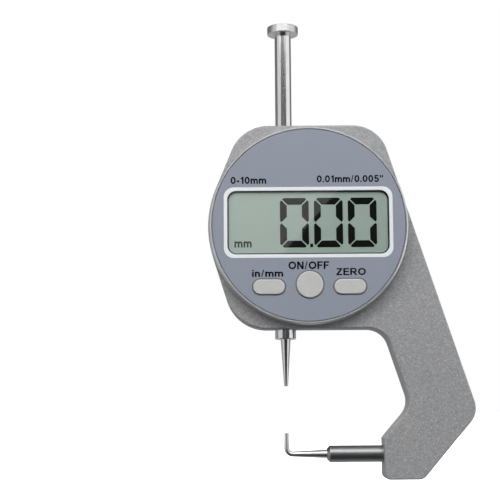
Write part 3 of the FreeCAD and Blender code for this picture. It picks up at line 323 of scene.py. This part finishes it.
def plastics():
    """The plastic and rubber finishes, by slot."""
    return {
        "black_plastic": moulded_plastic("black_plastic", (0.012, 0.012, 0.016), roughness=0.45),
        "white_trim": moulded_plastic("white_trim", (0.74, 0.77, 0.80), roughness=0.3,
                                      grain_mm=0.2, grain_deep=0.001, contrast=0.03),
        "rubber": moulded_plastic("rubber", (0.03, 0.03, 0.03), roughness=0.8),
        "button_plastic": moulded_plastic("button_plastic", (0.50, 0.50, 0.495), roughness=0.28,
                                          grain_mm=0.15, grain_deep=0.003, contrast=0.06, gloss=0.9),
        "door_plastic": moulded_plastic("door_plastic", (0.03, 0.03, 0.033), roughness=0.5),
    }


def turned_metals():
    """The turned finishes, by slot: rings about the dial's axis, the battery's or the spindle's."""
    return {
        "bezel_metal": turned_metal("bezel_metal", (0.80, 0.81, 0.83), roughness=0.28, centre=DIAL,
                                    axis=ALONG_Y, line_mm=0.08, lines_mm_deep=0.0006, metallic=0.72),
        "cell_steel": turned_metal("cell_steel", (0.75, 0.74, 0.72), roughness=0.2,
                                   centre=middle("battery"), axis=ALONG_Y, line_mm=0.1,
                                   lines_mm_deep=0.001),
        "cover_plate": turned_metal("cover_plate", (0.25, 0.255, 0.265), roughness=0.42, centre=DIAL,
                                    axis=ALONG_Y, line_mm=0.12, lines_mm_deep=0.002, metallic=0.6),
        "brass": turned_metal("brass", (0.75, 0.56, 0.24), roughness=0.28, centre=SPINDLE,
                              axis=ALONG_Z, line_mm=0.08, lines_mm_deep=0.001),
    }


def ground_metals():
    """The ground finishes, by slot."""
    return {
        "spring_steel": ground_metal("spring_steel", (0.62, 0.61, 0.58), roughness=0.25, along=ALONG_Z),
        "screw_steel": ground_metal("screw_steel", (0.80, 0.80, 0.81), roughness=0.4, along=ALONG_X,
                                    metallic=0.7),
        "polished_steel": ground_metal("polished_steel", (0.80, 0.80, 0.80), roughness=0.145,
                                       along=ALONG_Z),
        "satin_steel": ground_metal("satin_steel", (0.40, 0.405, 0.41), roughness=0.4, along=ALONG_X,
                                    line_mm=0.08, lines_mm_deep=0.0003),
    }


def own_finishes():
    """The finishes of two nodes that look unlike the rest of their slot."""
    return {
        "lift_knob": turned_metal("knob_steel", (0.78, 0.78, 0.78), roughness=0.33, centre=SPINDLE,
                                  axis=ALONG_Z, line_mm=0.1, lines_mm_deep=0.0008),
        "anvil_pin": ground_metal("pin_steel", (0.9, 0.9, 0.9), roughness=0.32, along=ALONG_X),
    }


def paint_nodes():
    """Gives every CAD node the material of its slot, or its own where it has one."""
    finishes = {
        "frame_paint": frame_paint(),
        "face_panel": face_panel(),
        "clear_lens": clear_lens(),
        "lcd": display(),
        "board": circuit_board(),
        **plastics(),
        **turned_metals(),
        **ground_metals(),
    }
    own_finish = own_finishes()
    for entry in frame["record"]["subparts"]:
        node = entry["node"]
        data = frame["nodes"][node].data
        data.materials.clear()
        data.materials.append(own_finish.get(node) or finishes[entry["material_slot"]])


# ---------------------------------------------------------------- display figures and lettering

INK_THICK = 0.02 * MM
FIGURE_WIDTH = 8.6 * MM
FIGURE_HEIGHT = 14.9 * MM
STROKE = 2.05 * MM
STROKE_CHAMFER = 0.45 * MM
STROKE_GAP = 0.35 * MM
FIGURE_RISE = 0.6 * MM


def flat_piece(name, outlines, front, material):
    """A thin printed shape on a surface at y = front: each outline is a closed row of (x, z) points."""
    mesh = bmesh.new()
    for outline in outlines:
        corners = [mesh.verts.new((x, front, z)) for x, z in outline]
        face = mesh.faces.new(corners)
        raised = bmesh.ops.extrude_face_region(mesh, geom=[face])["geom"]
        tops = [item for item in raised if isinstance(item, bmesh.types.BMVert)]
        bmesh.ops.translate(mesh, verts=tops, vec=(0, -INK_THICK, 0))
    bmesh.ops.recalc_face_normals(mesh, faces=mesh.faces)
    data = bpy.data.meshes.new(name)
    mesh.to_mesh(data)
    mesh.free()
    data.materials.append(material)
    piece = bpy.data.objects.new(name, data)
    bpy.context.scene.collection.objects.link(piece)
    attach(piece, "gauge_body")


def upright_stroke():
    """One upright stroke of a figure, from the middle gap to the top, its outer side at x = 0."""
    slack = STROKE_GAP / math.sqrt(2)
    low = STROKE_GAP / 2
    high = FIGURE_HEIGHT / 2
    return [
        (0, low + STROKE_CHAMFER),
        (STROKE_CHAMFER, low),
        (STROKE, low + STROKE - STROKE_CHAMFER),
        (STROKE, high - STROKE - slack),
        (STROKE_CHAMFER, high - STROKE_CHAMFER - slack),
        (0, high - 2 * STROKE_CHAMFER - slack),
    ]


def level_stroke():
    """The top stroke of a figure, mitred at both ends, about the figure's centre line."""
    slack = STROKE_GAP / math.sqrt(2)
    high = FIGURE_HEIGHT / 2
    left = -FIGURE_WIDTH / 2
    half = [
        (left + STROKE + slack, high - STROKE),
        (left + STROKE_CHAMFER + slack, high - STROKE_CHAMFER),
        (left + 2 * STROKE_CHAMFER + slack, high),
    ]
    return half + [(-x, z) for x, z in reversed(half)]


def zero_outlines(x, z):
    """The six strokes of a seven-segment zero, centred on (x, z)."""
    outlines = []
    for down in (1, -1):
        outlines.append([(x + px, z + down * pz) for px, pz in level_stroke()])
        for side in (1, -1):
            edge = -side * FIGURE_WIDTH / 2
            outlines.append([(x + edge + side * px, z + down * pz) for px, pz in upright_stroke()])
    return outlines


PEN = 0.215
LEVEL_PEN = 0.18
BOW_STEP_DEGREES = 15


def bar(x1, z1, x2, z2, weight=PEN):
    """A straight stroke of a letter, as one closed outline. A letter is 1 high."""
    along = Vector((x2 - x1, z2 - z1)).normalized() * weight / 2
    side = (-along.y, along.x)
    return [[(x1 + side[0], z1 + side[1]), (x1 - side[0], z1 - side[1]),
             (x2 - side[0], z2 - side[1]), (x2 + side[0], z2 + side[1])]]


def bow(x, z, rx, rz, start, end, weight=PEN):
    """A curved stroke along an ellipse, from start to end in degrees, as a run of short outlines."""
    steps = round((end - start) / BOW_STEP_DEGREES)
    turns = [math.radians(start + (end - start) * step / steps) for step in range(steps + 1)]
    rims = []
    for turn in turns:
        rims.append([(x + (rx + grow) * math.cos(turn), z + (rz + grow) * math.sin(turn))
                     for grow in (-weight / 2, weight / 2)])
    return [[a[0], a[1], b[1], b[0]] for a, b in zip(rims, rims[1:])]


# Each letter's width, then its strokes. Capitals and figures are 1 high, and most small letters 0.73.
LETTERS = {
    "0": (0.70, bow(0.35, 0.5, 0.25, 0.40, 0, 360)),
    "1": (0.48, bar(0.34, 0, 0.34, 1) + bar(0.06, 0.71, 0.32, 0.88, 0.16)),
    "5": (0.70, bar(0.14, 0.91, 0.64, 0.91, LEVEL_PEN) + bar(0.20, 0.96, 0.13, 0.46, LEVEL_PEN)
          + bow(0.34, 0.33, 0.25, 0.235, -155, 135)),
    "-": (0.42, bar(0.03, 0.37, 0.39, 0.37)),
    "/": (0.40, bar(0.07, 0, 0.33, 1, 0.13)),
    ".": (0.24, bar(0.12, 0, 0.12, 0.2)),
    "\"": (0.50, bar(0.12, 0.64, 0.12, 1, 0.17) + bar(0.40, 0.64, 0.40, 1, 0.17)),
    "i": (0.22, bar(0.11, 0, 0.11, 0.73) + bar(0.11, 0.83, 0.11, 1)),
    "n": (0.64, bar(0.11, 0, 0.11, 0.73) + bar(0.53, 0, 0.53, 0.43) + bow(0.32, 0.42, 0.21, 0.21, 0, 180)),
    "m": (1.03, bar(0.11, 0, 0.11, 0.73) + bar(0.515, 0, 0.515, 0.43) + bar(0.92, 0, 0.92, 0.43)
          + bow(0.3125, 0.42, 0.2025, 0.21, 0, 180) + bow(0.7175, 0.42, 0.2025, 0.21, 0, 180)),
    "N": (0.82, bar(0.11, 0, 0.11, 1) + bar(0.71, 0, 0.71, 1) + bar(0.15, 0.95, 0.67, 0.05)),
    "O": (0.98, bow(0.49, 0.5, 0.38, 0.40, 0, 360)),
    "F": (0.68, bar(0.11, 0, 0.11, 1) + bar(0.11, 0.91, 0.68, 0.91, LEVEL_PEN)
          + bar(0.11, 0.5, 0.6, 0.5, LEVEL_PEN)),
    "E": (0.74, bar(0.11, 0, 0.11, 1) + bar(0.11, 0.91, 0.72, 0.91, LEVEL_PEN)
          + bar(0.11, 0.52, 0.68, 0.52, LEVEL_PEN) + bar(0.11, 0.09, 0.74, 0.09, LEVEL_PEN)),
    "Z": (0.76, bar(0.05, 0.91, 0.73, 0.91, LEVEL_PEN) + bar(0.01, 0.09, 0.75, 0.09, LEVEL_PEN)
          + bar(0.62, 0.86, 0.13, 0.14)),
    "R": (0.84, bar(0.11, 0, 0.11, 1) + bar(0.11, 0.91, 0.5, 0.91, LEVEL_PEN)
          + bar(0.11, 0.47, 0.5, 0.47, LEVEL_PEN) + bow(0.5, 0.69, 0.21, 0.22, -90, 90, 0.19)
          + bar(0.42, 0.46, 0.76, 0.02)),
}
LETTER_SPACE = 0.11


def lettering(name, words, x, z, width, height, front, material):
    """Printed words of a given width and height, centred on (x, z) from the dial's centre."""
    outlines = []
    reach = 0.0
    for letter in words:
        wide, strokes = LETTERS[letter]
        outlines += [[(reach + px, pz) for px, pz in stroke] for stroke in strokes]
        reach += wide + LETTER_SPACE
    across = [px for outline in outlines for px, pz in outline]
    up = [pz for outline in outlines for px, pz in outline]
    scale_x = width * MM / (max(across) - min(across))
    scale_z = height * MM / (max(up) - min(up))
    left = DIAL.x + x * MM - width * MM / 2
    foot = DIAL.z + z * MM - height * MM / 2
    placed = [[(left + (px - min(across)) * scale_x, foot + (pz - min(up)) * scale_z) for px, pz in outline]
              for outline in outlines]
    flat_piece(name, placed, front, material)


PLATE_WORDS = [
    # name, words, x, z, width, height, in millimetres from the dial's centre
    ("text_range", "0-10mm", -17.9, 13.3, 10.65, 2.17),
    ("text_step", "0.01mm/0.005\"", 12.4, 13.6, 19.8, 2.15),
    ("text_unit", "in/mm", -12.4, -14.6, 9.2, 2.15),
    ("text_power", "ON/OFF", -0.2, -12.3, 12.05, 2.35),
    ("text_zero", "ZERO", 12.3, -14.3, 8.75, 2.2),
]
# The figures' centres, and the decimal point's size and place, in the same measure.
FIGURE_PLACES = [-4.25, 5.9, 16.0]
POINT_SIZE = (0.85, 1.1)
POINT_PLACE = (0.8, -6.25)


def make_display():
    """Three zeros, the decimal point and the unit, on the front of the display glass."""
    segment = moulded_plastic("segment", (0.001, 0.003, 0.002), roughness=0.5,
                              grain_mm=0.2, grain_deep=0.001, gloss=0.02)
    unit_ink = moulded_plastic("unit_ink", (0.035, 0.05, 0.04), roughness=0.5,
                               grain_mm=0.2, grain_deep=0.001, gloss=0.05)
    for number, x in enumerate(FIGURE_PLACES, start=1):
        outlines = zero_outlines(DIAL.x + x * MM, DIAL.z + FIGURE_RISE)
        flat_piece("figure_%d" % number, outlines, LCD_FRONT, segment)
    half_width, half_height = (size * MM / 2 for size in POINT_SIZE)
    x = DIAL.x + POINT_PLACE[0] * MM
    z = DIAL.z + POINT_PLACE[1] * MM
    square = [(x - half_width, z - half_height), (x + half_width, z - half_height),
              (x + half_width, z + half_height), (x - half_width, z + half_height)]
    flat_piece("decimal_point", [square], LCD_FRONT, segment)
    lettering("text_display_unit", "mm", -19.6, -5.8, 5.15, 1.85, LCD_FRONT, unit_ink)


def make_lettering():
    """The words printed on the face plate."""
    ink = moulded_plastic("ink", (0.003, 0.003, 0.008), roughness=0.6,
                          grain_mm=0.1, grain_deep=0.001, gloss=0.1)
    for name, words, x, z, width, height in PLATE_WORDS:
        lettering(name, words, x, z, width, height, PLATE_FRONT, ink)


# ---------------------------------------------------------------- stage and light

FLOOR_Z = -0.030
FLOOR_HALF = 3.0


def stage_sheet(name, corners, shader, unseen_by):
    """A flat sheet of the stage with four corners, left out for some kinds of ray."""
    data = bpy.data.meshes.new(name)
    data.from_pydata(corners, [], [(0, 1, 2, 3)])
    data.materials.append(shader.material)
    sheet = bpy.data.objects.new(name, data)
    bpy.context.scene.collection.objects.link(sheet)
    for ray in unseen_by:
        setattr(sheet, "visible_" + ray, False)


def make_floor():
    """A plain white floor below the gauge. It glows, so that it stays white, but lights nothing."""
    shader = Shader("floor_paper", Base_Color=(0.9, 0.9, 0.9, 1), Roughness=0.9,
                    Emission_Color=(1, 1, 1, 1), Emission_Strength=0.9)
    half = FLOOR_HALF
    corners = [(x, y, FLOOR_Z) for x, y in ((-half, -half), (half, -half), (half, half), (-half, half))]
    stage_sheet("floor", corners, shader, unseen_by=("diffuse", "glossy"))


LAMP_AIM = (0.01, 0, 0.06)


def softbox(name, place, width, height, power, mirrored=True):
    """A soft rectangular lamp that points at the gauge. Shiny pieces show it unless mirrored is off."""
    data = bpy.data.lights.new(name, "AREA")
    data.shape = "RECTANGLE"
    data.size = width
    data.size_y = height
    data.energy = power
    lamp = bpy.data.objects.new(name, data)
    bpy.context.scene.collection.objects.link(lamp)
    lamp.location = place
    direction = Vector(LAMP_AIM) - Vector(place)
    lamp.rotation_euler = direction.to_track_quat("-Z", "Y").to_euler()
    lamp.visible_camera = False
    lamp.visible_glossy = mirrored


def around(azimuth, distance, height):
    """A place at an azimuth from straight in front, in degrees to the right, about the spindle."""
    angle = math.radians(azimuth)
    return (distance * math.sin(angle), -distance * math.cos(angle), height)


def make_lamps():
    """Two tall boxes for the bright bands on the rod, and a wide key lamp high in front.

    Two broad fills light the matt surfaces alone: one in front, below the key lamp, and one behind.
    """
    softbox("box_left", around(-62, 0.8, 0.10), width=0.78, height=0.8, power=1.25)
    softbox("box_right", around(72, 0.8, 0.10), width=0.95, height=0.8, power=2.1)
    softbox("key", (-0.02, -0.48, 0.46), width=0.9, height=0.34, power=2.6)
    softbox("front_fill", (-0.04, -0.55, 0.34), width=1.1, height=0.7, power=3.15, mirrored=False)
    softbox("back_fill", (0.10, 0.60, 0.62), width=1.6, height=1.0, power=14.0, mirrored=False)


# Two points of the glare's edge as it is seen on the lens, x and z in millimetres from the origin.
GLARE_EDGE = [(15.8, 71.9), (-0.8, 53.1)]
CARD_DISTANCE = 0.60
CARD_WIDTH = 0.16
CARD_OVERHANG = 0.03
CARD_LIGHT = 1.05
CARD_TINT = (1.0, 0.93, 0.96, 1)


def make_glare_card():
    """A light card behind the camera, whose slanted edge the display window mirrors."""
    mirrored = Vector((CAMERA_PLACE.x, 2 * LENS_FRONT - CAMERA_PLACE.y, CAMERA_PLACE.z))
    edge = []
    for x, z in GLARE_EDGE:
        seen = Vector((x * MM, LENS_FRONT, z * MM))
        reach = (mirrored.y + CARD_DISTANCE) / (mirrored.y - seen.y)
        edge.append(mirrored + (seen - mirrored) * reach)
    along = (edge[0] - edge[1]).normalized()
    top = edge[0] + along * CARD_OVERHANG
    bottom = edge[1] - along * CARD_OVERHANG
    across = Vector((CARD_WIDTH, 0, 0))
    corners = [tuple(corner) for corner in (bottom - across, bottom, top, top - across)]
    shader = Shader("card_light", Base_Color=(0, 0, 0, 1), Roughness=1.0,
                    Emission_Color=CARD_TINT, Emission_Strength=CARD_LIGHT)
    stage_sheet("glare_card", corners, shader, unseen_by=("camera", "diffuse", "shadow"))


# Each is the stretch of a direction's Y or Z, and the two values that it maps to.
SKY_TURN = ((-0.4, 0.4), (0.0, 1.0))
SKY_FRONT = ((-0.3, 0.8), (0.04, 0.24))
SKY_BEHIND = ((-0.35, 0.6), (0.6, 0.08))
SKY_OVERHEAD = ((0.75, 1.0), (0.0, 0.4))


def make_world():
    """A white surround for the camera, and a soft studio for the light.

    In front it is dark below and brighter above. Behind it is bright below and dark above, which
    draws the dark upper and lit lower edges on the level bar. Straight overhead there is some light.
    """
    world = bpy.data.worlds.new("studio")
    world.use_nodes = True
    bpy.context.scene.world = world
    tree = world.node_tree
    nodes = tree.nodes
    nodes.clear()

    def link(source, target):
        tree.links.new(source, target)

    def span(value, stretch, results):
        new = nodes.new("ShaderNodeMapRange")
        new.interpolation_type = "SMOOTHSTEP"
        link(value, new.inputs["Value"])
        for name, number in zip(("From Min", "From Max", "To Min", "To Max"), stretch + results):
            new.inputs[name].default_value = number
        return new.outputs["Result"]

    direction = nodes.new("ShaderNodeTexCoord").outputs["Generated"]
    split = nodes.new("ShaderNodeSeparateXYZ")
    link(direction, split.inputs[0])
    strength = nodes.new("ShaderNodeMix")
    link(span(split.outputs["Y"], *SKY_TURN), strength.inputs["Factor"])
    link(span(split.outputs["Z"], *SKY_FRONT), strength.inputs["A"])
    link(span(split.outputs["Z"], *SKY_BEHIND), strength.inputs["B"])
    total = nodes.new("ShaderNodeMath")
    total.operation = "ADD"
    link(strength.outputs["Result"], total.inputs[0])
    link(span(split.outputs["Z"], *SKY_OVERHEAD), total.inputs[1])
    studio = nodes.new("ShaderNodeBackground")
    link(total.outputs[0], studio.inputs["Strength"])
    white = nodes.new("ShaderNodeBackground")
    white.inputs["Strength"].default_value = 1.0
    white.inputs["Color"].default_value = (1, 1, 1, 1)
    choose = nodes.new("ShaderNodeMixShader")
    link(nodes.new("ShaderNodeLightPath").outputs["Is Camera Ray"], choose.inputs[0])
    link(studio.outputs[0], choose.inputs[1])
    link(white.outputs[0], choose.inputs[2])
    output = nodes.new("ShaderNodeOutputWorld")
    link(choose.outputs[0], output.inputs["Surface"])


# ---------------------------------------------------------------- the scene

bpy.context.scene.view_settings.view_transform = "Standard"
make_camera()
paint_nodes()
make_display()
make_lettering()
make_floor()
make_lamps()
make_glare_card()
make_world()
